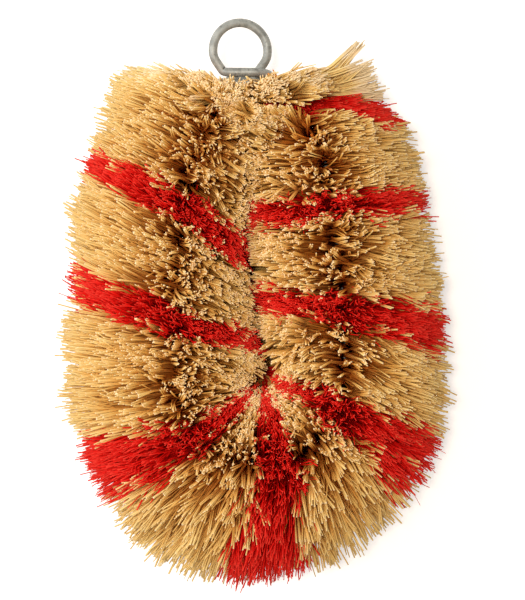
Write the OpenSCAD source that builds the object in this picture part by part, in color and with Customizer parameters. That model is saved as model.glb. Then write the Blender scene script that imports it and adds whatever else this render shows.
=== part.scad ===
// Vegetable brush: bundles of plant fibre clamped between two twisted wires, and the
// stem that they make bent round into a closed loop. The free end of one wire is turned
// into an eye to hang the brush by, and then wound round the neck to bind it.
// The brush lies on its back: +Z is the side that looks up, +Y points along the loop to
// the eye. The origin is under the middle of the brush, on the surface that it lies on.

/* [Loop] */
// Height of the stem's middle line above the surface
stem_z = 27; // [26.8:0.05:27.2]
// Radius of the stem's middle line round the bend
bend_r = 20.6; // [20:0.2:21.4]
// Place of the bend's centre across the brush
bend_x = 1.5; // [1:0.1:2]
// Place of the bend's centre along the brush
bend_y = -19.3; // [-20:0.1:-18.5]

/* [Wire] */
// Thickness of the galvanised wire
wire_d = 2.1; // [1.8:0.05:2.15]
// Distance of each wire's middle line from the stem's
twist_r = 1.12; // [1.1:0.01:1.13]
// Length of stem in one full twist of the wires
twist_pitch = 14; // [12:0.5:20]

/* [Fibre] */
// Length of the fibres from the stem to the tips that point up or down
fibre_reach = 27.5; // [27:0.1:28]
// Radius to which the fibres are packed solid round the wires
sleeve_r = 5; // [4.5:0.1:5.2]
// Width of a strand's tip round the stem
tip_w = 1.2; // [0.8:0.1:1.4]
// Width of a strand's tip along the stem
tip_len = 2.4; // [1:0.2:3]
// Length of stem that a full red bundle takes
red_len = 7; // [7:0.2:8]

/* [Eye] */
// Radius of the eye to the middle of its wire
eye_r = 6.95; // [6.5:0.05:7.2]
// Tilt of the eye, which lifts its left foot over the neck
eye_tilt = 15; // [12:1:16]
// Clear gap between the turns of the binding
turn_gap = 0.6; // [0.55:0.05:0.8]

/* [Hidden] */
N_NATURAL = 9;
N_RED = 8;

straw = [0.88, 0.72, 0.44];
red = [0.88, 0.1, 0.08];
zinc = [0.64, 0.63, 0.59];

// Points that the stem passes through, down the left leg and up the right one. The two
// ends stand side by side in the binding.
left_leg = [[-5.5, 62.5], [-5.5, 57.8], [-6.6, 53], [-11, 46], [-15.8, 34], [-18.4, 20], [-19.1, 0]];
right_leg = [[21.8, 0], [19.6, 20], [16.8, 34], [12, 45], [5.5, 50.8], [0.4, 54], [-0.3, 57.8], [-0.3, 62.5]];
bend = [for (a = [180:15:360]) [bend_x + bend_r * cos(a), bend_y + bend_r * sin(a)]];
knots = concat(left_leg, bend, right_leg);
KNOT_STEPS = 8;

// A smooth curve through the knots: the point at share t between knots i and i + 1
function between(i, t) =
    let (p = knots[i - 1], q = knots[i], r = knots[i + 1], s = knots[i + 2])
    0.5 * (2 * q + (r - p) * t + (2 * p - 5 * q + 4 * r - s) * t * t + (3 * q - p - 3 * r + s) * t * t * t);

path = concat(
    [for (i = [1:len(knots) - 3], k = [0:KNOT_STEPS - 1]) between(i, k / KNOT_STEPS)],
    [knots[len(knots) - 2]]
);

// Distance along a curve to each of its points
function run_along(points, i = 0, sum = 0, out = []) =
    i == len(points) ? out
    : let (step = i + 1 < len(points) ? norm(points[i + 1] - points[i]) : 0)
        run_along(points, i + 1, sum + step, concat(out, [sum]));
run = run_along(path);
stem_len = run[len(run) - 1];
x_of = [for (i = [0:len(path) - 1]) [run[i], path[i].x]];
y_of = [for (i = [0:len(path) - 1]) [run[i], path[i].y]];

function stem(s) = [lookup(s, x_of), lookup(s, y_of), stem_z];
function unit(v) = v / norm(v);
TANGENT_STEP = 0.8;
function along(s) = unit(stem(min(s + TANGENT_STEP, stem_len)) - stem(max(s - TANGENT_STEP, 0)));
function outward(s) = let (t = along(s)) [t.y, -t.x, 0];
up = [0, 0, 1];

// Direction of the fibres that point out of the loop, as an angle in the XY plane. The
// twist leans the fibres along the stem, so it isn't square to the stem.
lean = [[0, 172], [12, 158], [37, 154], [65, 159], [94, 196], [116, 262], [137, 329], [162, 347],
    [187, 366], [213, 358], [222, 385], [229, 385]];
// Reach of those fibres, which the trimming left uneven
reach_out = [[0, 24], [34, 26], [66, 29], [98, 29.5], [114, 30.6], [130, 28.6], [154, 26.4], [182, 23],
    [194, 23], [213, 25], [228, 24]];
// Reach of the fibres that point into the loop, where the legs press on each other
reach_in = [[0, 4], [7, 5], [12, 7.4], [20, 11.7], [30, 15.8], [50, 18], [65, 19.8], [80, 18.5], [90, 14.5],
    [97, 14], [133, 14], [142, 16], [150, 22], [187, 20.2], [200, 17.6], [213, 12.4], [221, 6.5], [229, 5]];

function fan(s) = let (a = lookup(s, lean)) [cos(a), sin(a), 0];
function ray(s, a) = cos(a) * fan(s) + sin(a) * up;
function reach(s, a) =
    cos(a) > 0
    ? fibre_reach + (lookup(s, reach_out) - fibre_reach) * cos(a)
    : min(fibre_reach, lookup(s, reach_in) / max(-cos(a), 0.01));

// A point on a round sleeve about the stem, in the slanted slice that the fibres lie in
function on_sleeve(s, a, r) =
    stem(s) + r * (cos(a) / abs(fan(s) * outward(s)) * fan(s) + sin(a) * up);

// Where the edge from a strand's root to its tip meets the surface that the brush lies on
function kept_above(root, tip) = tip.z >= 0 ? tip : root + (tip - root) * root.z / (root.z - tip.z);

// Fibre grows from a little past one end of the wires to a little before the other
neck_bare = 7.5;
first_s = neck_bare;
last_s = stem_len - neck_bare;
// Strands round the stem, and the bore that the wires have pressed through the fibre
COLUMNS = 16;
BORE_SIDES = 8;
BORE_STEP = 3;
bore_r = 2.42;
// Tips that point into the loop are narrower, by these shares, because they meet there
IN_THIN = 0.6;
IN_SHORT = 0.2;
// Every other row is turned by this share of a column, so that rows don't line up
STAGGER = 0.45;

// Corner j of the tip of the strand that grows between rows s0 and s1 in column c
function tip_corner(s0, s1, c, j, shift) =
    let (
        a = (c + 0.5 + shift) * 360 / COLUMNS - 90 - 180 / COLUMNS,
        s = (s0 + s1) / 2,
        inside = min(1, max(0, -2 * cos(a))),
        w = tip_w / 2 * (1 - (1 - IN_THIN) * inside),
        h = tip_len / 2 * (1 - (1 - IN_SHORT) * inside),
        away = -sin(a) * fan(s) + cos(a) * up,
        side = [-1, 1, 1, -1][j],
        end = [-1, -1, 1, 1][j]
    )
    stem(s) + reach(s, a) * ray(s, a) + w * side * away + h * end * along(s);

// One closed slice of packed fibre from s0 to s1, with a row of strands for each of its
// rows: every patch of the sleeve between two rows and two columns grows one strand.
module fibre_slice(s0, s1, rows, bore_rings) {
    turn = 360 / COLUMNS;
    row_s = [for (i = [0:rows]) s0 + (s1 - s0) * i / rows];
    ring_s = [for (i = [0:bore_rings]) s0 + (s1 - s0) * i / bore_rings];
    outer = [for (s = row_s, c = [0:COLUMNS - 1]) on_sleeve(s, (c - 0.5) * turn - 90, sleeve_r)];
    inner = [for (s = ring_s, c = [0:BORE_SIDES - 1])
        on_sleeve(s, (c * COLUMNS / BORE_SIDES - 0.5) * turn - 90, bore_r)];
    corner = function (i, c) i * COLUMNS + c % COLUMNS;
    tips = [for (i = [0:rows - 1], c = [0:COLUMNS - 1], j = [0:3])
        let (root = outer[corner(i + (j > 1 ? 1 : 0), c + (j == 1 || j == 2 ? 1 : 0))])
        kept_above(root, tip_corner(row_s[i], row_s[i + 1], c, j, i % 2 == 0 ? 0 : STAGGER))];
    n_outer = len(outer);
    n_tips = len(tips);
    tip = function (i, c, j) n_outer + (i * COLUMNS + c) * 4 + j;
    hole = function (i, c) n_outer + n_tips + i * BORE_SIDES + c % BORE_SIDES;
    strands = [for (i = [0:rows - 1], c = [0:COLUMNS - 1])
        let (root = [corner(i, c), corner(i, c + 1), corner(i + 1, c + 1), corner(i + 1, c)])
        for (j = [0:3], half = [0, 1])
            let (k = (j + 1) % 4)
            half == 0 ? [root[j], root[k], tip(i, c, k)] : [root[j], tip(i, c, k), tip(i, c, j)]];
    ends = [for (i = [0:rows - 1], c = [0:COLUMNS - 1], half = [0, 1])
        half == 0 ? [tip(i, c, 0), tip(i, c, 1), tip(i, c, 2)] : [tip(i, c, 0), tip(i, c, 2), tip(i, c, 3)]];
    bore = [for (i = [0:bore_rings - 1], c = [0:BORE_SIDES - 1], half = [0, 1])
        half == 0 ? [hole(i, c), hole(i + 1, c), hole(i + 1, c + 1)]
        : [hole(i, c), hole(i + 1, c + 1), hole(i, c + 1)]];
    per = COLUMNS / BORE_SIDES;
    faces_at = function (i, k, flip) [for (c = [0:BORE_SIDES - 1])
        each concat(
            [for (m = [0:per - 1])
                let (n = c * per + m, f = [hole(k, m * 2 < per ? c : c + 1), corner(i, n), corner(i, n + 1)])
                flip ? [f[0], f[2], f[1]] : f],
            [let (f = [hole(k, c), corner(i, c * per + ceil(per / 2)), hole(k, c + 1)])
                flip ? [f[0], f[2], f[1]] : f]
        )];
    polyhedron(
        concat(outer, tips, inner),
        concat(strands, ends, bore, faces_at(0, 0, true), faces_at(rows, bore_rings, false))
    );
}

// Where the middle of each red bundle sits along the stem, and its share of red_len: the
// bundles were laid by hand, the one at the foot of the loop fullest
red_s = [37, 65, 94, 116, 137, 162, 187, 213];
red_share = [1, 0.85, 1.05, 1.2, 0.75, 0.95, 0.65, 0.65];
function red_from(i) = red_s[i] - red_share[i] * red_len / 2;
function red_to(i) = red_s[i] + red_share[i] * red_len / 2;
function natural_from(i) = i == 0 ? first_s : red_to(i - 1);
function natural_to(i) = i == N_RED ? last_s : red_from(i);

// Rows of strands stand about this far apart where they spread on the outside of the loop
ROW_GAP = 10.4;
function rows_in(s0, s1) =
    let (a = stem(s0) + reach(s0, 0) * ray(s0, 0), b = stem(s1) + reach(s1, 0) * ray(s1, 0))
    max(1, round(max(norm(b - a), s1 - s0) / ROW_GAP));

module bundle(s0, s1) {
    fibre_slice(s0, s1, rows_in(s0, s1), ceil((s1 - s0) / BORE_STEP));
}

module natural_fibre(i) { color(straw) bundle(natural_from(i), natural_to(i)); }
module red_fibre(i) { color(red) bundle(red_from(i), red_to(i)); }

rows_natural = [for (i = [0:N_RED]) rows_in(natural_from(i), natural_to(i))];
rows_red = [for (i = [0:N_RED - 1]) rows_in(red_from(i), red_to(i))];
echo(strands = COLUMNS * (rows_natural * [for (r = rows_natural) 1] + rows_red * [for (r = rows_red) 1]));

// A closed tube through the points of a curve, with its rings square to it. up_at gives
// the direction of each ring's first corner.
module tube(points, up_at, r, sides) {
    last = len(points) - 1;
    rings = [for (i = [0:last], k = [0:sides - 1])
        let (
            t = unit(points[min(i + 1, last)] - points[max(i - 1, 0)]),
            e = unit(up_at[i] - (up_at[i] * t) * t),
            f = cross(t, e),
            a = 360 * k / sides
        )
        points[i] + r * (cos(a) * e + sin(a) * f)];
    at = function (i, k) i * sides + k % sides;
    walls = [for (i = [0:last - 1], k = [0:sides - 1], half = [0, 1])
        half == 0 ? [at(i, k), at(i + 1, k), at(i + 1, k + 1)] : [at(i, k), at(i + 1, k + 1), at(i, k + 1)]];
    caps = [for (k = [1:sides - 2], end = [0, 1])
        end == 0 ? [at(0, 0), at(0, k), at(0, k + 1)] : [at(last, 0), at(last, k + 1), at(last, k)]];
    polyhedron(rings, concat(walls, caps));
}

// The eye is a ring whose lower quarters turn in more tightly than its top. Its two ends
// are its feet: the wire comes up out of the twist into the right one, and goes on from
// the left one into the binding.
eye_x = -3.86;
eye_y = 61.95;
eye_low_r = 4.95;
eye_low_turn = 38;
EYE_FINE = 96;
WIRE_FINE = 48;
wire_r = wire_d / 2;
wrap_r = 3.4;
bar_y = 56.6;
bar_z = stem_z + wrap_r;
eye_middle = [eye_x, eye_y, (stem_z + bar_z) / 2];

function tilted(v) = [v.x * cos(eye_tilt), v.y, -v.x * sin(eye_tilt)];
// The middle of a foot's end face, and the way that the wire leaves it. side is 1 for the
// right foot and -1 for the left one.
function foot(side) =
    let (x = eye_r - eye_low_r + eye_low_r * cos(eye_low_turn), y = -eye_low_r * sin(eye_low_turn))
    eye_middle + tilted([side * x, y]);
function foot_way(side) = tilted([-side * sin(eye_low_turn), -cos(eye_low_turn)]);

module bent_wire(r, angle) {
    rotate_extrude(angle = angle, $fn = EYE_FINE) translate([r, 0]) circle(wire_r, $fn = WIRE_FINE);
}

module eye_half() {
    bent_wire(eye_r, 90);
    translate([eye_r - eye_low_r, 0, 0]) rotate([0, 0, -eye_low_turn]) bent_wire(eye_low_r, eye_low_turn);
}

module hanging_eye() {
    color(zinc) translate(eye_middle) rotate([0, eye_tilt, 0]) {
        eye_half();
        mirror([1, 0, 0]) eye_half();
    }
}

// The two wires are twisted about each other along the whole stem. Both are cut off just
// below the eye, except that the first goes on at the loop's right end into the eye.
TWIST_RINGS = 10;
TWIST_SIDES = 6;
cut_back = 0.8;
eye_lead = 1.8;

function twist_side(s, phase) =
    let (turn = 360 * (s - stem_len) / twist_pitch + phase)
    cos(turn) * outward(s) + sin(turn) * up;

module twisted_wire(phase, end_s, onward) {
    n = ceil((end_s - cut_back) / twist_pitch * TWIST_RINGS);
    at = [for (i = [0:n]) cut_back + (end_s - cut_back) * i / n];
    side = [for (s = at) twist_side(s, phase)];
    tube(
        concat([for (i = [0:n]) stem(at[i]) + twist_r * side[i]], onward),
        concat(side, [for (p = onward) side[n]]),
        wire_r,
        TWIST_SIDES
    );
}

module stem_wire_a() {
    color(zinc) twisted_wire(0, stem_len - eye_lead, [foot(1) + wire_d * foot_way(1), foot(1)]);
}

module stem_wire_b() { color(zinc) twisted_wire(180, stem_len - cut_back, []); }

// The binding leaves the eye's left foot, crosses the neck in front as a straight bar,
// goes round behind the neck and comes back to the front, where it is cut off.
BIND_RINGS = 12;
BIND_SIDES = 6;
BEND_RINGS = 4;
neck_left = -5.5;
neck_right = -0.3;
bar_from = -6.7;
turn_drop = wire_d + turn_gap;

// The point at share t of a curve that leaves a towards b and comes to c from b
function bent(a, b, c, t) = (1 - t) * (1 - t) * a + 2 * t * (1 - t) * b + t * t * c;

// The point at angle a of the turn round the wires at x, when this share of the way down
// to the next turn is behind it
function round_neck(x, a, share) = [x + wrap_r * cos(a), bar_y - turn_drop * share, stem_z + wrap_r * sin(a)];

lead_end = foot(-1) + wire_d * foot_way(-1);
lead_aim = foot(-1) + foot_way(-1) * (foot(-1).y - bar_y) / -foot_way(-1).y;
bar_start = [bar_from, bar_y, bar_z];
bind_path = concat(
    [foot(-1)],
    [for (k = [0:BEND_RINGS]) bent(lead_end, lead_aim, bar_start, k / BEND_RINGS)],
    [for (k = [0:BIND_RINGS]) round_neck(neck_right, 90 - 180 * k / BIND_RINGS, k / BIND_RINGS / 3)],
    [for (k = [0:BIND_RINGS]) round_neck(neck_left, 270 - 180 * k / BIND_RINGS, (2 + k / BIND_RINGS) / 3)],
    [[neck_left + 2 * wire_d, bar_y - turn_drop, bar_z]]
);

module neck_binding() {
    color(zinc) tube(bind_path, [for (p = bind_path) [0, 1, 0]], wire_r, BIND_SIDES);
}

// The least gap between the binding's turns, measured between points of its middle line
// that are more than GAP_SPAN apart along it
GAP_STEPS = 5;
GAP_SPAN = 4 * wire_d;
bind_points = [for (i = [0:len(bind_path) - 2], k = [0:GAP_STEPS - 1])
    bind_path[i] + (bind_path[i + 1] - bind_path[i]) * k / GAP_STEPS];
bind_run = run_along(bind_points);
echo(binding_gap = min([for (i = [0:len(bind_points) - 1], j = [0:len(bind_points) - 1])
    if (bind_run[j] - bind_run[i] > GAP_SPAN) norm(bind_points[j] - bind_points[i]) - wire_d]));

hanging_eye();
neck_binding();
stem_wire_a();
stem_wire_b();
for (i = [0:N_NATURAL - 1])
    natural_fibre(i);
for (i = [0:N_RED - 1])
    red_fibre(i);
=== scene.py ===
import bmesh
import bpy
import math
import numpy as np
from mathutils import Matrix, Vector
from types import SimpleNamespace


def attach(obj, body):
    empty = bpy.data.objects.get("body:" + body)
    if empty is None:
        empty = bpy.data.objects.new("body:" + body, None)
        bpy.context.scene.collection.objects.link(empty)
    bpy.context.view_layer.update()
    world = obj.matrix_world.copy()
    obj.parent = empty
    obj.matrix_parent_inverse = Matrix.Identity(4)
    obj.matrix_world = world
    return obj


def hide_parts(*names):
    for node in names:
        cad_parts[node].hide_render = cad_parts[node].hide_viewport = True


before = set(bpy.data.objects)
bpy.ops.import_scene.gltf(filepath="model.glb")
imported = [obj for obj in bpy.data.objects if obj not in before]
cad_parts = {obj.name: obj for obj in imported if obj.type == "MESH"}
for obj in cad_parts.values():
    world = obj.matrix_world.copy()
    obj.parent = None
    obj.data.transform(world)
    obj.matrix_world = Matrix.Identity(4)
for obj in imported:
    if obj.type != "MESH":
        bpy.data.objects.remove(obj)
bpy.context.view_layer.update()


# The stem. Two galvanised wires twisted about each other, which clamp the fibre between
# them, and bent round into a loop whose two ends stand side by side in the neck. They lie
# inside the fibre, and keep their CAD shape.
def linear(hex_colour):
    """An sRGB hex colour as linear red, green, blue and alpha."""
    parts = [int(hex_colour[i:i + 2], 16) / 255 for i in (1, 3, 5)]
    return [c / 12.92 if c <= 0.04045 else ((c + 0.055) / 1.055) ** 2.4 for c in parts] + [1.0]


def new_material(name):
    """An empty material and its output node."""
    material = bpy.data.materials.new(name)
    material.use_nodes = True
    material.node_tree.nodes.clear()
    return material, material.node_tree.nodes.new("ShaderNodeOutputMaterial")


def add(material, kind, settings=None, **links):
    """Adds a node. A link's name is its input's, with _ for a space, or in and the input's
    number. A tuple there is a node and the name of its output, and anything else a value."""
    node = material.node_tree.nodes.new(kind)
    for key, value in (settings or {}).items():
        setattr(node, key, value)
    for key, value in links.items():
        name = key.replace("_", " ")
        numbered = name.startswith("in") and name[2:].isdigit()
        socket = node.inputs[int(name[2:])] if numbered else node.inputs[name]
        if isinstance(value, tuple):
            material.node_tree.links.new(value[0].outputs[value[1]], socket)
        else:
            socket.default_value = value
    return node


def ramp(node, stops):
    """Sets a colour ramp's stops, each a place from 0 to 1 and an sRGB hex colour."""
    elements = node.color_ramp.elements
    while len(elements) < len(stops):
        elements.new(0.5)
    for element, (place, colour) in zip(elements, stops):
        element.position = place
        element.color = linear(colour)


# Hot-dip galvanised steel: a skin of zinc, dull grey with a faint spangle of crystals,
# whiter where it has weathered, and dark in the scuffs that bending and handling left.
SPANGLE_MM = 1.1
BLOOM_MM = 5.5556
SCUFF_MM = 0.9
SCUFF_DEPTH_MM = 0.06
zinc, out = new_material("galvanised_steel")
place = add(zinc, "ShaderNodeTexCoord")
spangle = add(
    zinc, "ShaderNodeTexVoronoi", {"feature": "F1"},
    Vector=(place, "Object"), Scale=1000 / SPANGLE_MM,
)
spangle_grey = add(zinc, "ShaderNodeValToRGB", Fac=(spangle, "Color"))
ramp(spangle_grey, [(0.2, "#848681"), (0.8, "#9FA29C")])
bloom = add(
    zinc, "ShaderNodeTexNoise",
    Vector=(place, "Object"), Scale=1000 / BLOOM_MM, Detail=6.0, Roughness=0.65,
)
bloom_share = add(zinc, "ShaderNodeMapRange", Value=(bloom, "Fac"), From_Min=0.5, From_Max=0.72)
weathered = add(
    zinc, "ShaderNodeMixRGB",
    Fac=(bloom_share, "Result"), Color1=(spangle_grey, "Color"), Color2=linear("#B6B8B2"),
)
scuff = add(
    zinc, "ShaderNodeTexNoise",
    Vector=(place, "Object"), Scale=1000 / SCUFF_MM, Detail=5.0, Roughness=0.6,
)
scuff_share = add(
    zinc, "ShaderNodeMapRange", Value=(scuff, "Fac"), From_Min=0.6, From_Max=0.7, To_Max=0.85,
)
scuffed = add(
    zinc, "ShaderNodeMixRGB",
    Fac=(scuff_share, "Result"), Color1=(weathered, "Color"), Color2=linear("#5E5B54"),
)
dullness = add(
    zinc, "ShaderNodeMapRange",
    Value=(bloom, "Fac"), From_Min=0.3, From_Max=0.7, To_Min=0.42, To_Max=0.62,
)
grain = add(
    zinc, "ShaderNodeBump",
    Strength=0.35, Distance=SCUFF_DEPTH_MM / 1000, Height=(scuff, "Fac"),
)
skin = add(
    zinc, "ShaderNodeBsdfPrincipled",
    Base_Color=(scuffed, "Color"), Metallic=0.3, Roughness=(dullness, "Result"), Normal=(grain, "Normal"),
)
zinc.node_tree.links.new(skin.outputs["BSDF"], out.inputs["Surface"])

for node in ("stem_wire_a", "stem_wire_b"):
    stem_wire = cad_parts[node]
    stem_wire.data.materials.clear()
    stem_wire.data.materials.append(zinc)

# The undyed fibre. Stiff plant fibre from the leaves of an agave, cut to length, laid
# between the two wires and clamped there as they were twisted. Each fibre sticks out on
# both sides of the stem, and the whole brush was trimmed to an even surface afterwards.
MM = 0.001

# The line of the stem in plan, in millimetres: down the left leg, round the bend and up
# the right leg. The fibre grows from it, all at one height.
STEM_Z = 27.0
BEND_R, BEND_X, BEND_Y = 20.6, 1.5, -19.3
BEND_STEP = 15
LEFT_LEG = [(-5.5, 62.5), (-5.5, 57.8), (-6.6, 53), (-11, 46), (-15.8, 34), (-18.4, 20), (-19.1, 0)]
RIGHT_LEG = [
    (21.8, 0), (19.6, 20), (16.8, 34), (12, 45), (5.5, 50.8), (0.4, 54), (-0.3, 57.8), (-0.3, 62.5),
]
KNOT_STEPS = 16


def smooth_line(points, steps):
    """A smooth curve through all but the first and the last of the points."""
    p, q, r, s = points[:-3], points[1:-2], points[2:-1], points[3:]
    t = np.arange(steps)[:, None, None] / steps
    curve = q + ((r - p) * t + (2 * p - 5 * q + 4 * r - s) * t**2 + (3 * q - p - 3 * r + s) * t**3) / 2
    return np.vstack([curve.transpose(1, 0, 2).reshape(-1, points.shape[1]), points[-2]])


bend = [
    (BEND_X + BEND_R * math.cos(math.radians(a)), BEND_Y + BEND_R * math.sin(math.radians(a)))
    for a in range(180, 361, BEND_STEP)
]
stem_line = smooth_line(np.array(LEFT_LEG + bend + RIGHT_LEG), KNOT_STEPS)
stem_run = np.concatenate([[0], np.cumsum(np.linalg.norm(np.diff(stem_line, axis=0), axis=1))])
STEM_LEN = stem_run[-1]


def stem_at(s):
    """Where the stem's line is in plan, at a distance along it from its left end."""
    return np.stack([np.interp(s, stem_run, stem_line[:, 0]), np.interp(s, stem_run, stem_line[:, 1])], -1)


def half_turn(angle):
    """The same angle, between half a turn back and half a turn on."""
    return (angle + math.pi) % (2 * math.pi) - math.pi


# The way of the fibres in plan, in degrees: those outside the loop, and those inside it
# as the way that they would point outside. The twist leans them along the stem. In this
# and the tables that follow, the first row is a distance along the stem.
lean_s = [0, 12, 37, 65, 94, 116, 137, 162, 187, 213, 221, 229]
lean_out = [175, 161, 154, 159, 196, 262, 332, 347, 366, 354, 366, 376]
lean_in = [160, 150, 142, 162, 214, 279, 328, 354, 368, 362, 372, 380]

# How far the trimmed fibres reach outside the loop, and inside it to the seam where the
# two legs' fibres meet
FIBRE_REACH = 27.5
reach_s = [0, 20, 34, 50, 66, 82, 90, 98, 108, 114, 122, 128, 140, 150, 158, 182, 194, 203, 213, 220, 228]
reach_out = [
    24, 25.5, 25.5, 29.4, 28.3, 29.2, 27.9, 29.9, 33, 30.7, 28.8,
    27.5, 26.2, 27.6, 26, 23.2, 23.2, 23.6, 25.2, 22, 18,
]
seam_s = [0, 7, 12, 20, 30, 50, 65, 80, 90, 97, 133, 142, 150, 172, 187, 200, 213, 221, 229]
seam_in = [16, 16, 16, 16, 17.4, 19.8, 20.8, 20.9, 20.7, 20.6, 20.6, 22, 23, 23.2, 21.4, 18.6, 16.5, 16, 16]

# A fibre that meets the seam keeps straight over a share of its way there, then bends
# away from it and stands up
SEAM_STRAIGHT = 0.55
SEAM_RISE = 0.8
# Round the bend the ends of the inner fibres turn towards the hole in the middle
TURN_IN_FROM = 12.0
TURN_IN = 0.75
# The brush lies on its fibres, and those that reach the worktop bend out along it
FLOOR_GAP = 0.15


def fibre_points(s, angle, r, seam, side):
    """Where points at distance r along fibres stand, in millimetres. The angle is that
    round the stem, from the outside of the loop up, and side lifts those at the seam."""
    across = r * np.cos(angle)
    height = r * np.sin(angle)
    into = np.maximum(-across, 0)
    share = into / seam
    crowded = 1 - SEAM_STRAIGHT
    bent = SEAM_STRAIGHT + crowded * np.tanh((share - SEAM_STRAIGHT) / crowded)
    held = np.where(share > SEAM_STRAIGHT, bent, share) * seam
    pushed = into - held
    up = height + side > 0
    height = height + np.where(up, 1, -1) * SEAM_RISE * pushed
    at = stem_at(s)
    way = np.radians(np.where(across > 0, np.interp(s, lean_s, lean_out), np.interp(s, lean_s, lean_in)))
    straight = np.arctan2(at[..., 1] - BEND_Y, at[..., 0] - BEND_X)
    round_bend = np.clip((BEND_Y + TURN_IN_FROM - at[..., 1]) / TURN_IN_FROM, 0, 1)
    near = round_bend * (r / FIBRE_REACH) ** 2
    way = way + np.where(across > 0, 0, TURN_IN * near * half_turn(straight - way))
    flat = np.where(across > 0, across, -held)
    low = np.maximum(-(STEM_Z - FLOOR_GAP) - height, 0)
    height = height + low
    flat = flat + np.sign(flat) * low
    x = at[..., 0] + flat * np.cos(way)
    y = at[..., 1] + flat * np.sin(way)
    return np.stack([x, y, STEM_Z + height], -1)


# Fibres don't stand evenly: they part and crowd in waves some 10 mm long
WAVE_SEED = 5
WAVES = 14
WAVE_LEAST, WAVE_MOST = 7, 17
wave_rng = np.random.default_rng(WAVE_SEED)
wave_size = wave_rng.uniform(WAVE_LEAST, WAVE_MOST, WAVES)
wave_turn = wave_rng.uniform(0, 2 * math.pi, WAVES)
wave_start = wave_rng.uniform(0, 2 * math.pi, (3, WAVES))


def waves(kind, s, angle):
    """A smooth uneven value near -1 to 1 over the stem's length and the fibres' angle."""
    x, y = s[..., None], (angle * FIBRE_REACH)[..., None]
    phase = 2 * math.pi * (x * np.cos(wave_turn) + y * np.sin(wave_turn)) / wave_size + wave_start[kind]
    return np.cos(phase).sum(-1) / math.sqrt(WAVES)


# The fibres cling together by twos and threes in strands, and the strands' tips in wedges
FIBRES_PER_MM = 325
WEDGE_STRANDS, LEAST_WEDGES = 4, 4
WEDGE_LOOSE = 0.6
STRAND_OFF, STRAND_TURN = 1.0, math.radians(6.5)
TIP_OFF, TIP_TURN = 0.4, math.radians(1.2)
STRAY_SHARE, STRAY = 0.02, 3.5
WAVE_OFF, WAVE_BEND = 1.2, math.radians(3.5)
# Outside the loop, where the tips were trimmed square, the strands stand more evenly
FRAY_FROM, FRAY_OVER = 0.35, 0.4
FRAYED_EVEN, FRAYED_OFF, FRAYED_TURN = 0.7, 1.2, 2
# At the two ends the first and the last fibres crowd forward over the binding
NECK_BARE = 7.5
CROWD_MM, CROWD_OFF = 3.5, 1.2
CROWD_WAY, CROWD_TURN = math.radians(95), math.radians(28)
# Inside the loop the strands press on those across the seam, and most stand up more
STOOD_SHARE, STOOD, LEANT = 0.62, 0.35, 0.05
# Where each bundle of dyed fibre sits along the stem. The natural fibres on both sides
# cover the last one but for its outer part, and dyed tips gather outside the loop.
RED_S = [37, 65, 94, 116, 137, 162, 187, 213]
RED_GATHER = [0.45, 0.35, 0.1, 0.3, 0.1, 0.1, 0.35, 0.35]
COVER_MM, COVER_FROM, COVER_PULL, COVER_MOST = 11, 0.65, 1.8, 0.8
PRESSED_DOWN, PRESSED_WAY, PRESSED_OVER = math.radians(34), 1.35, 0.55


def place_strands(rng, node, s_from, s_to, count):
    """Where each strand of a bundle stands along the stem and round it, at its root and
    its tip. The functions that follow add to this bundle, b."""
    wedges = max(LEAST_WEDGES, count // WEDGE_STRANDS)
    wedge_s = rng.uniform(s_from, s_to, wedges)
    wedge_a = rng.uniform(-math.pi, math.pi, wedges)
    if s_from < NECK_BARE or s_to > STEM_LEN - NECK_BARE:
        crowd = rng.random(wedges) < CROWD_MM / (s_to - s_from)
        edge, inward = (s_from, 1) if s_from < NECK_BARE else (s_to, -1)
        wedge_s[crowd] = edge + inward * np.abs(rng.normal(0, CROWD_OFF, crowd.sum()))
        wedge_a[crowd] = rng.normal(CROWD_WAY, CROWD_TURN, crowd.sum())
    wedge = rng.integers(0, wedges, count)
    from_s, from_a = wedge_s[wedge], wedge_a[wedge]
    frayed = np.clip((np.cos(from_a) - FRAY_FROM) / FRAY_OVER, 0, 1)
    loose = 1 - rng.uniform(0, WEDGE_LOOSE, wedges)[wedge] * (1 - FRAYED_EVEN * frayed)
    off_s = rng.normal(0, STRAND_OFF, count)
    off_a = rng.normal(0, STRAND_TURN, count)
    stray = np.where(rng.random(count) < STRAY_SHARE, STRAY, 1.0)
    root_s = np.clip(from_s + off_s, s_from, s_to)
    root_a = half_turn(from_a + off_a)
    tip_s = from_s + off_s * loose + rng.normal(0, TIP_OFF, count) * (stray + FRAYED_OFF * frayed)
    tip_a = from_a + off_a * loose + rng.normal(0, TIP_TURN, count) * (stray + FRAYED_TURN * frayed)
    tip_a = half_turn(tip_a)
    stood = np.where(rng.random(count) < STOOD_SHARE, STOOD, LEANT)
    tip_a = tip_a - np.maximum(tip_a - math.pi / 2, 0) * stood
    tip_s = tip_s + WAVE_OFF * waves(0, from_s, from_a)
    if node.startswith("red"):
        middle = (s_from + s_to) / 2
        tip_s = middle + (tip_s - middle) * (1 - RED_GATHER[int(node[-1]) - 1] * frayed)
    tip_a = tip_a + WAVE_BEND * waves(1, from_s, from_a)
    if node == "red_fibre_8":
        tip_a = tip_a - PRESSED_DOWN * np.exp(-(((tip_a - PRESSED_WAY) / PRESSED_OVER) ** 2))
        root_a = tip_a
    else:
        beside = np.clip(1 - np.abs(tip_s - RED_S[-1]) / COVER_MM, 0, 1)
        covering = beside * np.clip(COVER_FROM - np.cos(tip_a), 0, 1)
        tip_s = tip_s + (RED_S[-1] - tip_s) * np.minimum(COVER_PULL * covering, COVER_MOST)
    return SimpleNamespace(
        wedges=wedges, wedge=wedge, from_s=from_s, from_a=from_a, frayed=frayed,
        root_s=root_s, root_a=root_a, tip_s=tip_s, tip_a=tip_a,
    )


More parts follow.
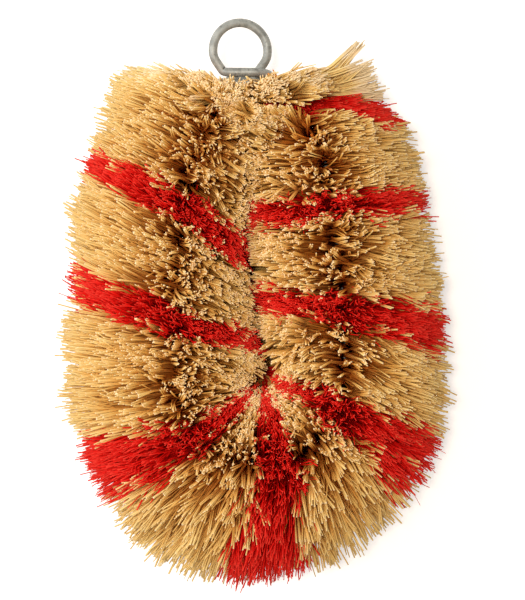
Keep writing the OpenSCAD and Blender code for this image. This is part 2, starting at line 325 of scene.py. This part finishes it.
# Most fibres end at the trimmed surface or a little below it, and some broke off short
TRIM_UNEVEN = 0.014
SHORT_SHARE, SHORT_LEAST, SHORT_MOST = 0.13, 0.25, 0.6
SPARE_SHARE, SPARE_LEAST, SPARE_MOST = 0.42, 0.66, 0.97
SEAM_OVERLAP, SEAM_UNEVEN, SEAM_LOWER = 1.9, 0.8, 3.5
HOLE_R, HOLE_EDGE_R, HOLE_LOWER = 0.8, 5.5, 6.5
HOLE_FROM = 4
COVERED_R, COVERED_SHORT = 13, 0.45
COVERED_FROM, COVERED_OVER = 0.8, 0.4
UPPER_FROM, DEEP_FROM = -0.15, -0.5
# A fibre's tone, from 0 for the deepest to 1 for the palest. The neck's fibres are painted paler, and at
# the two ends pale down to the stem: painted light, as nothing stands beside them to shade them.
TONE, TONE_WEDGE, TONE_WAVE, TONE_STRAND, TONE_FIBRE = 0.38, 0.12, 0.12, 0.09, 0.07
TONE_FRAYED, TONE_INSIDE, TONE_EVEN = 0.16, 0.09, 0.4
TONE_LEAST, TONE_MOST = 0.02, 0.98
pale_s = [0, 12, 26, 205, 216, 229]
pale = [0.3, 0.22, 0, 0, 0.3, 0.35]
PALE_INSIDE = 0.95
bare_s = [NECK_BARE, NECK_BARE + 4, STEM_LEN - NECK_BARE - 5, STEM_LEN - NECK_BARE]
bare_end = [1, 0, 0, 1]


def trim_strands(rng, node, b):
    """How far each strand of a bundle reaches, how much of that it has, and its tone."""
    count = len(b.tip_s)
    outside = np.cos(b.tip_a)
    b.reach = FIBRE_REACH + (np.interp(b.tip_s, reach_s, reach_out) - FIBRE_REACH) * np.maximum(outside, 0)
    b.reach = b.reach * (1 + rng.normal(0, TRIM_UNEVEN, b.wedges)[b.wedge])
    if node == "red_fibre_8":
        b.reach = np.where(outside < 0, np.minimum(b.reach, COVERED_R / np.maximum(-outside, 0.1)), b.reach)
        b.reach = b.reach * (1 - COVERED_SHORT * np.clip((b.tip_a - COVERED_FROM) / COVERED_OVER, 0, 1))
    whole = rng.random(count) ** np.where(outside < DEEP_FROM, 0.5, 1)
    short = rng.uniform(SHORT_LEAST, SHORT_MOST, count)
    spare = rng.uniform(SPARE_LEAST, SPARE_MOST, count)
    b.part = np.where(whole < SHORT_SHARE, short, np.where(whole < SPARE_SHARE, spare, 1))
    upper = np.sin(b.tip_a) > UPPER_FROM
    seam = np.interp(b.tip_s, seam_s, seam_in) + SEAM_OVERLAP
    seam = seam + rng.normal(0, SEAM_UNEVEN, count) + np.where(upper, 0, SEAM_LOWER)
    at = stem_at(b.root_s)
    to_centre = np.hypot(at[:, 0] - BEND_X, at[:, 1] - BEND_Y)
    hole = np.sqrt(HOLE_R**2 + rng.random(count) * (HOLE_EDGE_R**2 - HOLE_R**2))
    gap = hole - np.where(upper, 0, HOLE_LOWER)
    b.seam = np.where(at[:, 1] < BEND_Y + HOLE_FROM, np.minimum(seam, to_centre - gap), seam)
    tone = rng.normal(0, TONE_WEDGE, b.wedges)[b.wedge] + TONE_WAVE * waves(2, b.from_s, b.from_a)
    tone = (tone + rng.normal(0, TONE_STRAND, count)) * (1 - TONE_EVEN * b.frayed)
    tone = TONE + tone + TONE_FRAYED * b.frayed
    tone = tone + TONE_INSIDE * np.maximum(-outside, 0)
    b.tone = tone + np.interp(b.tip_s, pale_s, pale) * np.clip(PALE_INSIDE + outside, 0, 1)
    b.bare = np.interp(b.root_s, bare_s, bare_end)


# Fibres fell apart along the tops of the two legs, and show their dark roots there
PART_WIDTH, PART_PUSH = 2.7, 2.1
PART_FROM, PART_OVER = 6, 10
partings = np.array([
    (-13, 48.5), (-12, 41.5), (-17.5, 29.5), (-18.5, 15.5), (-19, 3), (-21, -15.5),
    (-19.5, -23), (-3, -41), (11.5, 50.5), (12, 41.5), (16.5, 34), (18.5, 16.5),
    (21, 10), (21.5, 4), (22.5, -12), (22.5, -17), (11, -38), (-2.5, 45.5),
])


def parted(tips):
    """How far each tip on the upper side is pushed away from the partings."""
    away = tips[:, None, :2] - partings[None]
    apart = np.linalg.norm(away, axis=2, keepdims=True)
    push = (away / np.maximum(apart, 0.2) * PART_PUSH * np.exp(-((apart / PART_WIDTH) ** 2))).sum(1)
    upper = np.clip((tips[:, 2] - STEM_Z - PART_FROM) / PART_OVER, 0, 1)
    return np.column_stack([push * upper[:, None], np.zeros(len(tips))])


# A strand leaves the wires at some angle, bows a little and swings with its wedge
ROOT_R = 2.6
CLAMP_TURN = math.radians(22)
LIFT, BOW, WEDGE_SWING, STRAND_SWING = 1.5, 0.4, 0.5, 0.15
FRAYED_SWING = 3
# At the neck the fibres have room, and splay towards the eye
neck_s = [0, 8, 20, 34, 203, 214, 222, 229]
neck_splay = [1.4, 1.4, 1, 0, 0, 1.2, 2, 2.2]
SPLAY_LEAST, SPLAY_FROM, SPLAY_OVER = 0.3, 0.7, 0.25
SPLAY_LEFT, SPLAY_RIGHT, SPLAY_ON = -1.2, 2.6, [0, 1, -0.12]
# How late along a strand each of these shows: 1 is evenly, and more is nearer the tip
LATE_OFF, LATE_TURN, LATE_SWING, LATE_SPLAY, LATE_PARTING = 1.3, 1.8, 2, 1.4, 1.6


def strand_lines(rng, node, b, steps):
    """Each strand's line from the stem to its tip, in millimetres."""
    count = len(b.tip_s)
    u = np.linspace(0, 1, steps + 1)
    clamp = rng.normal(0, CLAMP_TURN, count)
    s = b.root_s[:, None] + (b.tip_s - b.root_s)[:, None] * u[None] ** LATE_OFF
    turned = half_turn(b.tip_a - b.root_a)
    a = b.root_a[:, None] + turned[:, None] * u[None] ** LATE_TURN + clamp[:, None] * (1 - u[None]) ** 3
    r = ROOT_R + (b.reach * b.part - ROOT_R)[:, None] * u[None]
    line = fibre_points(s, a, r, b.seam[:, None], rng.normal(0, LIFT, count)[:, None])
    bow = rng.normal(0, BOW, (count, 1, 3)) * (1 + b.frayed)[:, None, None]
    line = line + bow * (4 * u * (1 - u))[None, :, None]
    swing = rng.normal(0, WEDGE_SWING, (b.wedges, 3))[b.wedge]
    swing = swing + rng.normal(0, STRAND_SWING, (count, 3)) * (1 + FRAYED_SWING * b.frayed[:, None])
    line = line + swing[:, None] * (u**LATE_SWING)[None, :, None]
    splay = np.interp(b.root_s, neck_s, neck_splay) * rng.uniform(SPLAY_LEAST, 1, count)
    splay = splay * np.clip((np.sin(b.tip_a) - SPLAY_FROM) / SPLAY_OVER, 0, 1)
    if node == "red_fibre_8":
        splay = splay * 0
    aside = np.where(b.root_s > STEM_LEN / 2, SPLAY_RIGHT, SPLAY_LEFT)[:, None] * [1, 0, 0]
    line = line + splay[:, None, None] * (u**LATE_SPLAY)[None, :, None] * (aside + SPLAY_ON)[:, None]
    return line + parted(line[:, -1])[:, None] * (u**LATE_PARTING)[None, :, None]


# One sheaf of the last bundle escaped the trimming, and fans out straight past the
# shoulder, from the topmost tips down. A few of its fibres stand up by themselves.
SHEAF_STRANDS, SHEAF_S = 260, 214
SHEAF_LOW, SHEAF_HIGH = -0.1, 1.15
SHEAF_TOP, SHEAF_FAN = np.array([27.4, 60.2, 38.0]), [4.8, -10.2, -2.5]
SHEAF_UNEVEN, SHEAF_BOW = [0.7, 0.7, 2.0], [0.6, -1.1, 0]
SPIKE_SHARE, SPIKE_TIP = 0.16, [26.0, 63.4, 38.5]
SPIKE_UNEVEN, SPIKE_BOW = [0.4, 0.4, 1.0], [1.4, -2.6, 0]
SHEAF_SHORT, SHEAF_LOOSE, SHEAF_FRAYED = 0.85, 0.6, 0.5
# The sheaf's strands stand clear of the rest: their tones are painted pale and the painted root shade is
# lifted off them, as nothing shades them
SHEAF_PALE, SHEAF_PALEST, SHEAF_BARE = 0.84, 0.98, 1.3


def fan_out(rng, b, line, steps):
    """Lays the strands of the sheaf out straight, and paints them pale, with little of the painted root
    shade.
    """
    u = np.linspace(0, 1, steps + 1)
    turned_out = (b.tip_a > SHEAF_LOW) & (b.tip_a < SHEAF_HIGH)
    sheaf = np.nonzero(turned_out & (b.part == 1) & (b.root_s > SHEAF_S))[0][:SHEAF_STRANDS]
    count = len(sheaf)
    fan = rng.random((count, 1))
    spike = fan < SPIKE_SHARE
    target = np.where(spike, SPIKE_TIP, SHEAF_TOP + fan * SHEAF_FAN)
    target = target + rng.normal(0, 1, (count, 3)) * np.where(spike, SPIKE_UNEVEN, SHEAF_UNEVEN)
    out_way = (target - line[sheaf, 0]) * rng.uniform(SHEAF_SHORT, 1, (count, 1)) ** 0.5
    line[sheaf] = line[sheaf, :1] + out_way[:, None] * u[None, :, None]
    bow = rng.normal(0, SHEAF_LOOSE, (count, 1, 3)) + np.where(spike, SPIKE_BOW, SHEAF_BOW)[:, None]
    line[sheaf] += bow * (4 * u * (1 - u))[None, :, None]
    b.tone[sheaf] = rng.uniform(SHEAF_PALE, SHEAF_PALEST, count)
    b.frayed[sheaf] = SHEAF_FRAYED
    b.bare[sheaf] = SHEAF_BARE


# The single fibre: three-sided, which is round enough at its size
FIBRE_R, FIBRE_R_SPREAD = 0.195, 0.25
FIBRE_SIDES = 3
TIP_TAPER, TAPER_FROM = 0.86, 0.8
STRAND_SPREAD, FRAYED_SPREAD, FRAYED_THICK = 0.18, 1.8, 0.15
LENGTH_SPREAD, CRIMP = 0.1, 0.09
TIGHTEST_AT, LOOSENED = 0.6, 0.8
# The map holds each fibre's tone across and its length up, with the cut at the top
TONE_BAND = 0.02
SIDE_TOP, CUT_EDGE, CUT_MIDDLE = 0.95, 0.97, 0.025
# How far bare fibres are spared the painted root shade: their pale cut colour runs further down them
BARE_SHADE_LIFT = 0.6
# A way that no fibre points, to turn its rings by
NO_WAY = np.array([0.31, 0.52, 0.79])


def fibre_template(steps):
    """One fibre of unit length and radius: its corners, its faces, and for each corner
    of each face its place across and up the map."""
    bm = bmesh.new()
    ring = bmesh.ops.create_circle(bm, cap_ends=True, segments=FIBRE_SIDES, radius=1)["verts"]
    edges = list({e for v in ring for e in v.link_edges})
    for _ in range(steps):
        made = bmesh.ops.extrude_edge_only(bm, edges=edges)["geom"]
        risen = [v for v in made if isinstance(v, bmesh.types.BMVert)]
        bmesh.ops.translate(bm, verts=risen, vec=(0, 0, 1 / steps))
        edges = [e for e in made if isinstance(e, bmesh.types.BMEdge)]
    bmesh.ops.contextual_create(bm, geom=edges)
    bmesh.ops.recalc_face_normals(bm, faces=bm.faces[:])
    bm.verts.index_update()
    corners = np.array([v.co[:] for v in bm.verts])
    faces, places = [], []
    for face in bm.faces:
        turns = [math.atan2(v.co.y, v.co.x) / (2 * math.pi) for v in face.verts]
        sides = [round(turn * FIBRE_SIDES) % FIBRE_SIDES for turn in turns]
        faces.append([v.index for v in face.verts])
        if len(sides) == FIBRE_SIDES:
            end = CUT_EDGE if face.verts[0].co.z > 0.5 else 0.0
            places += [(0.0, end), (1.0, end), (0.5, end + CUT_MIDDLE)]
            continue
        first = next(k for k in set(sides) if (k + 1) % FIBRE_SIDES in sides)
        places += [(0.0 if k == first else 1.0, SIDE_TOP * v.co.z) for k, v in zip(sides, face.verts)]
    bm.free()
    return corners, faces, np.array(places)


def grow(name, node, material, s_from, s_to, seed, density, fineness, crimp, together, steps):
    """Makes one bundle of fibre between two places along the stem, strand by strand, with
    so many fibres together in a strand."""
    rng = np.random.default_rng(seed)
    template, template_faces, template_map = fibre_template(steps)
    fibres = int(FIBRES_PER_MM * (s_to - s_from) * density)
    strands = int(fibres / together)
    b = place_strands(rng, node, s_from, s_to, strands)
    trim_strands(rng, node, b)
    line = strand_lines(rng, node, b, steps)
    if node == "natural_fibre_9":
        fan_out(rng, b, line, steps)
    # The fibres of each strand, side by side and of slightly different lengths
    u = np.linspace(0, 1, steps + 1)
    strand = np.sort(rng.integers(0, strands, fibres))
    frayed = b.frayed[strand]
    spread = STRAND_SPREAD * (1 + FRAYED_SPREAD * frayed)
    beside = rng.normal(0, 1, (fibres, 1, 3)) * spread[:, None, None]
    path = line[strand] + beside * (1 + LOOSENED * np.abs(u - TIGHTEST_AT))[None, :, None]
    cut = np.abs(rng.normal(0, LENGTH_SPREAD, fibres)) * steps * 0.5
    path[:, -1] -= (path[:, -1] - path[:, -2]) * cut[:, None]
    path = path + rng.normal(0, CRIMP * crimp, (fibres, steps + 1, 3)) * np.minimum(u * 4, 1)[None, :, None]
    path[..., 2] = np.maximum(path[..., 2], FLOOR_GAP)
    tone = np.clip(b.tone[strand] + rng.normal(0, TONE_FIBRE, fibres), TONE_LEAST, TONE_MOST)
    # Rings square to the fibre
    tangent = np.gradient(path, axis=1)
    tangent /= np.linalg.norm(tangent, axis=2, keepdims=True)
    aside = np.cross(tangent, NO_WAY)
    aside /= np.linalg.norm(aside, axis=2, keepdims=True)
    across = np.cross(tangent, aside)
    thick = FIBRE_R * fineness * np.exp(rng.normal(0, FIBRE_R_SPREAD, fibres)) * (1 + FRAYED_THICK * frayed)
    taper = np.interp(u, [0, TAPER_FROM, 1], [1, 1, TIP_TAPER])
    level = np.rint(template[:, 2] * steps).astype(int)
    turn = np.arctan2(template[:, 1], template[:, 0])
    spin = (rng.uniform(0, 2 * math.pi, fibres)[:, None] + turn[None])[..., None]
    wide = (thick[:, None] * taper[None])[:, level][..., None]
    corners = path[:, level] + (aside[:, level] * np.cos(spin) + across[:, level] * np.sin(spin)) * wide
    # One mesh of all the bundle's fibres
    loops = np.concatenate(template_faces)
    all_loops = (loops[None] + len(template) * np.arange(fibres)[:, None]).ravel()
    sizes = np.tile([len(f) for f in template_faces], fibres)
    starts = np.concatenate([[0], np.cumsum(sizes)[:-1]])
    mesh = bpy.data.meshes.new(name)
    mesh.vertices.add(fibres * len(template))
    mesh.vertices.foreach_set("co", (corners * MM).astype(np.float32).ravel())
    mesh.loops.add(len(all_loops))
    mesh.loops.foreach_set("vertex_index", all_loops.astype(np.int32))
    mesh.polygons.add(len(sizes))
    mesh.polygons.foreach_set("loop_start", starts.astype(np.int32))
    mesh.polygons.foreach_set("use_smooth", sizes == 4)
    uv = np.empty((fibres, len(loops), 2), np.float32)
    uv[..., 0] = tone[:, None] + TONE_BAND * (template_map[None, :, 0] - 0.5)
    # Up the map the colour runs from painted root shade to the pale cut. Short fibres end lower on it, in
    # the painted shade of the depth they end at, and bare fibres have less of it.
    below_cut = (1 - template_map[None, :, 1]) * (1 - BARE_SHADE_LIFT * b.bare[strand][:, None])
    uv[..., 1] = (1 - below_cut) * b.part[strand][:, None]
    mesh.uv_layers.new(name="OFBake").data.foreach_set("uv", uv.ravel())
    mesh.update(calc_edges=True)
    mesh.materials.append(material)
    piece = bpy.data.objects.new(name, mesh)
    bpy.context.scene.collection.objects.link(piece)
    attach(piece, "root")
    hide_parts(node)


def fibre_material(name, dark, light, roughness, gloss):
    """A fibre's colours from its root to its cut, for the deepest and the palest tone; the darker colours
    towards the root are painted shade.
    """
    material, out = new_material(name)
    where = add(material, "ShaderNodeUVMap", {"uv_map": "OFBake"})
    part = add(material, "ShaderNodeSeparateXYZ", Vector=(where, "UV"))
    deep = add(material, "ShaderNodeValToRGB", Fac=(part, "Y"))
    ramp(deep, dark)
    pale = add(material, "ShaderNodeValToRGB", Fac=(part, "Y"))
    ramp(pale, light)
    tone = add(
        material, "ShaderNodeMixRGB",
        Fac=(part, "X"), Color1=(deep, "Color"), Color2=(pale, "Color"),
    )
    strand = add(
        material, "ShaderNodeBsdfPrincipled",
        Base_Color=(tone, "Color"), Roughness=roughness, Specular_IOR_Level=gloss,
    )
    material.node_tree.links.new(strand.outputs["BSDF"], out.inputs["Surface"])
    return material


# Undyed tampico, dried and combed: a pale straw with a slight waxy gloss along the strand.
# It is painted palest at the cut tip and a deep orange towards the root: painted shade and glow where the
# fibres stand close.
straw = fibre_material(
    "undyed_tampico_fibre",
    dark=[
        (0.0, "#DA6014"), (0.35, "#DE7820"), (0.6, "#DC963A"),
        (0.8, "#D8A24A"), (0.94, "#DEAF62"), (0.965, "#E4C290"),
    ],
    light=[
        (0.0, "#E8741C"), (0.35, "#EE9E40"), (0.6, "#EEBE68"),
        (0.8, "#ECC87C"), (0.94, "#F0D28A"), (0.965, "#F6DEB2"),
    ],
    roughness=0.5, gloss=0.3,
)

# The bundles, end to end: each dyed one between two undyed ones, and the first and the
# last lapping a little on the neck
RED_LEN = 7.0
NECK_LAP_LEFT, NECK_LAP_RIGHT = 0.5, 1.5
RED_SHARE = [1, 0.9, 1.05, 1.2, 0.95, 1, 0.72, 0.65]
red_half = [RED_LEN * share / 2 for share in RED_SHARE]
red_from = [s - half for s, half in zip(RED_S, red_half)]
red_to = [s + half for s, half in zip(RED_S, red_half)]
natural_from = [NECK_BARE - NECK_LAP_LEFT] + red_to
natural_to = red_from + [STEM_LEN - NECK_BARE + NECK_LAP_RIGHT]
for i, (start, end) in enumerate(zip(natural_from, natural_to)):
    grow(
        f"natural_fibre_bundle_{i + 1}", f"natural_fibre_{i + 1}", straw, start, end,
        seed=100 + i, density=1.0, fineness=1.0, crimp=1.2, together=3.0, steps=3,
    )

# The dyed fibre. The same plant fibre dyed bright red in the hank, and laid between the
# wires in eight short bundles. It is finer and more crimped than the undyed fibre, stands
# closer, and mixes with its neighbours a little at its edges.
RED_OVERLAP = 0.3

# Tampico dyed red: the dye goes right through and takes the waxy gloss away, so it is
# matt and even; along the fibre it is painted shade, darker towards the root deep between the strands and a
# little paler at the cut tip.
scarlet = fibre_material(
    "red_dyed_tampico_fibre",
    dark=[(0.0, "#C40702"), (0.5, "#CA0904"), (0.85, "#CE0E08"), (0.96, "#DA2A1E")],
    light=[(0.0, "#DC0C04"), (0.5, "#E2120A"), (0.85, "#E81C12"), (0.96, "#F04434")],
    roughness=0.75, gloss=0.12,
)

for i, (start, end) in enumerate(zip(red_from, red_to)):
    grow(
        f"red_fibre_bundle_{i + 1}", f"red_fibre_{i + 1}", scarlet,
        start - RED_OVERLAP, end + RED_OVERLAP,
        seed=200 + i, density=1.75, fineness=0.66, crimp=3.6, together=1.4, steps=4,
    )

# The wire's free end. It comes up out of the twist, is bent round into the eye, comes
# down on the left and is wound round the neck, which binds the two ends of the stem.
WIRE_R = 1.1
WIRE_SIDES = 20
WIRE_SEED, WIRE_UNEVEN, UNEVEN_EVERY = 7, 0.012, 4
EYE_R, EYE_LOW_R, EYE_LOW_TURN, EYE_TILT = 6.95, 4.95, 38.0, math.radians(15)
WRAP_R = 3.4
BAR_Y, BAR_Z, BAR_FROM = 56.6, STEM_Z + WRAP_R, -6.7
NECK_LEFT, NECK_RIGHT = -5.5, -0.3
TURN_DROP = 2 * WIRE_R + 0.6
LEAD_IN = (3.2, 2.1, 1.4, 0.7)
EYE_STEPS, FOOT_STEPS, TURN_STEPS, CORNER_STEPS = 48, 10, 19, 9
eye_middle = np.array([-3.86, 61.95, (STEM_Z + BAR_Z) / 2])


def on_eye(x, y):
    """A point of the eye's own plane, which is tilted so that its left foot lies high."""
    return eye_middle + np.array([x * math.cos(EYE_TILT), y, -x * math.sin(EYE_TILT)])


def arc(cx, cy, r, start, end, steps):
    """Points along an arc, from one angle in degrees to the other."""
    turns = np.radians(np.linspace(start, end, steps))
    return [(cx + r * math.cos(a), cy + r * math.sin(a)) for a in turns]


def between(start, end, shares):
    """Points on a straight line, at shares of its length."""
    return [start + (end - start) * t for t in shares]


def round_neck(x, angle, share):
    """A point of the winding round the neck, at an angle in degrees and a share of its turn."""
    a = math.radians(angle)
    return np.array([x + WRAP_R * math.cos(a), BAR_Y - TURN_DROP * share, STEM_Z + WRAP_R * math.sin(a)])


low_x = EYE_R - EYE_LOW_R
ring = (
    arc(low_x, 0, EYE_LOW_R, -EYE_LOW_TURN, 0, FOOT_STEPS)[:-1]
    + arc(0, 0, EYE_R, 0, 180, EYE_STEPS)
    + arc(-low_x, 0, EYE_LOW_R, 180, 180 + EYE_LOW_TURN, FOOT_STEPS)[1:]
)
eye_line = [on_eye(x, y) for x, y in ring]
rise = (eye_line[0] - eye_line[1]) / np.linalg.norm(eye_line[0] - eye_line[1])
fall = (eye_line[-1] - eye_line[-2]) / np.linalg.norm(eye_line[-1] - eye_line[-2])
lead_in = [eye_line[0] + rise * d for d in LEAD_IN]
lead_end = eye_line[-1] + 2 * WIRE_R * fall
lead_aim = eye_line[-1] + fall * (eye_line[-1][1] - BAR_Y) / -fall[1]
bar_start = np.array([BAR_FROM, BAR_Y, BAR_Z])
corner = [
    (1 - t) ** 2 * lead_end + 2 * t * (1 - t) * lead_aim + t * t * bar_start
    for t in np.linspace(0, 1, CORNER_STEPS)
]
bar = between(bar_start, np.array([NECK_RIGHT, BAR_Y, BAR_Z]), np.linspace(0.1, 0.9, 8))
turn_right = [round_neck(NECK_RIGHT, 90 - 180 * t, t / 3) for t in np.linspace(0, 1, TURN_STEPS)]
behind = between(turn_right[-1], round_neck(NECK_LEFT, 270, 2 / 3), np.linspace(0.2, 0.8, 4))
turn_left = [round_neck(NECK_LEFT, 270 - 180 * t, (2 + t) / 3) for t in np.linspace(0, 1, TURN_STEPS)]
wire_end = np.array([NECK_LEFT + 4 * WIRE_R, BAR_Y - TURN_DROP, BAR_Z])
last = between(turn_left[-1], wire_end, np.linspace(0.2, 1, 5))
lead_out = between(eye_line[-1], lead_end, (0.33, 0.66))
wire_line = np.array(lead_in + eye_line + lead_out + corner + bar + turn_right + behind + turn_left + last)


def swept_wire(name, line, radius, sides, seed):
    """A round wire along a line: a disc that is extruded from ring to ring, and swells
    and shrinks a very little as real wire does."""
    rng = np.random.default_rng(seed)
    tangent = np.gradient(line, axis=0)
    tangent /= np.linalg.norm(tangent, axis=1, keepdims=True)
    lump_at = np.arange(0, len(line) + UNEVEN_EVERY, UNEVEN_EVERY)
    lump = 1 + rng.normal(0, WIRE_UNEVEN, len(line) // UNEVEN_EVERY + 2)[:len(lump_at)]
    lumps = np.interp(np.arange(len(line)), lump_at, lump)
    bm = bmesh.new()
    disc = bmesh.ops.create_circle(bm, cap_ends=True, segments=sides, radius=radius * MM)["verts"]
    first_way = Vector(tangent[0]).to_track_quat("Z", "Y").to_matrix().to_4x4()
    bmesh.ops.transform(bm, matrix=Matrix.Translation(Vector(line[0]) * MM) @ first_way, verts=disc)
    edges = [e for e in bm.edges if e.is_boundary or len(e.link_faces) < 2]
    for i in range(1, len(line)):
        made = bmesh.ops.extrude_edge_only(bm, edges=edges)["geom"]
        verts = [v for v in made if isinstance(v, bmesh.types.BMVert)]
        edges = [e for e in made if isinstance(e, bmesh.types.BMEdge)]
        turn = Vector(tangent[i - 1]).rotation_difference(Vector(tangent[i]))
        swell = lumps[i] / lumps[i - 1]
        step = (
            Matrix.Translation(Vector(line[i]) * MM) @ turn.to_matrix().to_4x4()
            @ Matrix.Scale(swell, 4) @ Matrix.Translation(-Vector(line[i - 1]) * MM)
        )
        bmesh.ops.transform(bm, matrix=step, verts=verts)
    bmesh.ops.contextual_create(bm, geom=edges)
    bmesh.ops.recalc_face_normals(bm, faces=bm.faces[:])
    for face in bm.faces:
        face.smooth = len(face.verts) == 4
    mesh = bpy.data.meshes.new(name)
    bm.to_mesh(mesh)
    bm.free()
    piece = bpy.data.objects.new(name, mesh)
    bpy.context.scene.collection.objects.link(piece)
    return piece


wire = swept_wire("eye_and_neck_binding", wire_line, WIRE_R, WIRE_SIDES, WIRE_SEED)
wire.data.materials.append(zinc)
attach(wire, "root")
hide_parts("hanging_eye", "neck_binding")

# The floor: a plain white sheet, which shows pure white to the camera and keeps a soft
# shadow under the brush.
FLOOR_HALF = 2.0
floor_mesh = bmesh.new()
bmesh.ops.create_grid(floor_mesh, x_segments=1, y_segments=1, size=FLOOR_HALF)
floor_data = bpy.data.meshes.new("floor")
floor_mesh.to_mesh(floor_data)
floor_mesh.free()
floor = bpy.data.objects.new("floor", floor_data)
bpy.context.scene.collection.objects.link(floor)

# White paper, uncoated: matt and even. It glows a little, for the camera and in the
# wire's reflections only, so that it shows white and throws no more light on the brush.
FLOOR_GLOW = 0.42
paper, out = new_material("white_paper_floor")
matt = add(paper, "ShaderNodeBsdfDiffuse", Color=linear("#E9E7E3"))
glow = add(paper, "ShaderNodeEmission", Color=linear("#FFFFFF"), Strength=FLOOR_GLOW)
both = add(paper, "ShaderNodeAddShader", in0=(matt, "BSDF"), in1=(glow, "Emission"))
light_path = add(paper, "ShaderNodeLightPath")
seen = add(
    paper, "ShaderNodeMath", {"operation": "MAXIMUM"},
    in0=(light_path, "Is Camera Ray"), in1=(light_path, "Is Glossy Ray"),
)
plain = add(paper, "ShaderNodeMixShader", in0=(seen, "Value"), in1=(matt, "BSDF"), in2=(both, "Shader"))
paper.node_tree.links.new(plain.outputs["Shader"], out.inputs["Surface"])
floor_data.materials.append(paper)

# The light: a soft lamp low on the left, a smaller and warmer one above the brush, and a
# white room all round.
LAMP_AIM = Vector((0, 0, 0.03))


def lamp(name, place, size, power, colour):
    """A round soft lamp, which points at the brush."""
    data = bpy.data.lights.new(name, "AREA")
    data.shape = "DISK"
    data.size = size
    data.energy = power
    data.color = linear(colour)[:3]
    ob = bpy.data.objects.new(name, data)
    ob.location = place
    ob.rotation_euler = (LAMP_AIM - Vector(place)).to_track_quat("-Z", "Y").to_euler()
    bpy.context.scene.collection.objects.link(ob)


lamp("key", (-0.75, 0.15, 0.65), 0.7, 5.7, "#F6F8FF")
lamp("front", (-0.1, 0.04, 1.3), 0.15, 9.2, "#FFF6EA")

# The room lights the brush with less than the camera sees of it
ROOM_LIGHT, ROOM_SEEN = 0.48, 1.0
world = bpy.data.worlds.new("room")
bpy.context.scene.world = world
world.use_nodes = True
room = world.node_tree
room_light = room.nodes["Background"]
camera_ray = add(world, "ShaderNodeLightPath")
room_colour = add(
    world, "ShaderNodeMixRGB",
    Fac=(camera_ray, "Is Camera Ray"), Color1=linear("#FFF8F0"), Color2=linear("#FFFFFF"),
)
strength = add(
    world, "ShaderNodeMapRange",
    Value=(camera_ray, "Is Camera Ray"), To_Min=ROOM_LIGHT, To_Max=ROOM_SEEN,
)
room.links.new(room_colour.outputs["Color"], room_light.inputs["Color"])
room.links.new(strength.outputs["Result"], room_light.inputs["Strength"])

# The camera looks straight down on the brush. One pixel is a quarter of a millimetre.
FRAME_PX, PX_MM = (525, 600), 0.2473
CENTRE_PX = (256, 302)
CAMERA_AWAY = 0.75
SENSOR_MM = 36
camera_data = bpy.data.cameras.new("camera")
camera_data.sensor_width = SENSOR_MM
camera_data.lens = SENSOR_MM * CAMERA_AWAY / (FRAME_PX[1] * PX_MM * MM)
camera = bpy.data.objects.new("camera", camera_data)
camera.location = (
    (FRAME_PX[0] / 2 - CENTRE_PX[0]) * PX_MM * MM,
    (CENTRE_PX[1] - FRAME_PX[1] / 2) * PX_MM * MM,
    STEM_Z * MM + CAMERA_AWAY,
)
bpy.context.scene.collection.objects.link(camera)
bpy.context.scene.camera = camera
bpy.context.scene.view_settings.view_transform = "Standard"
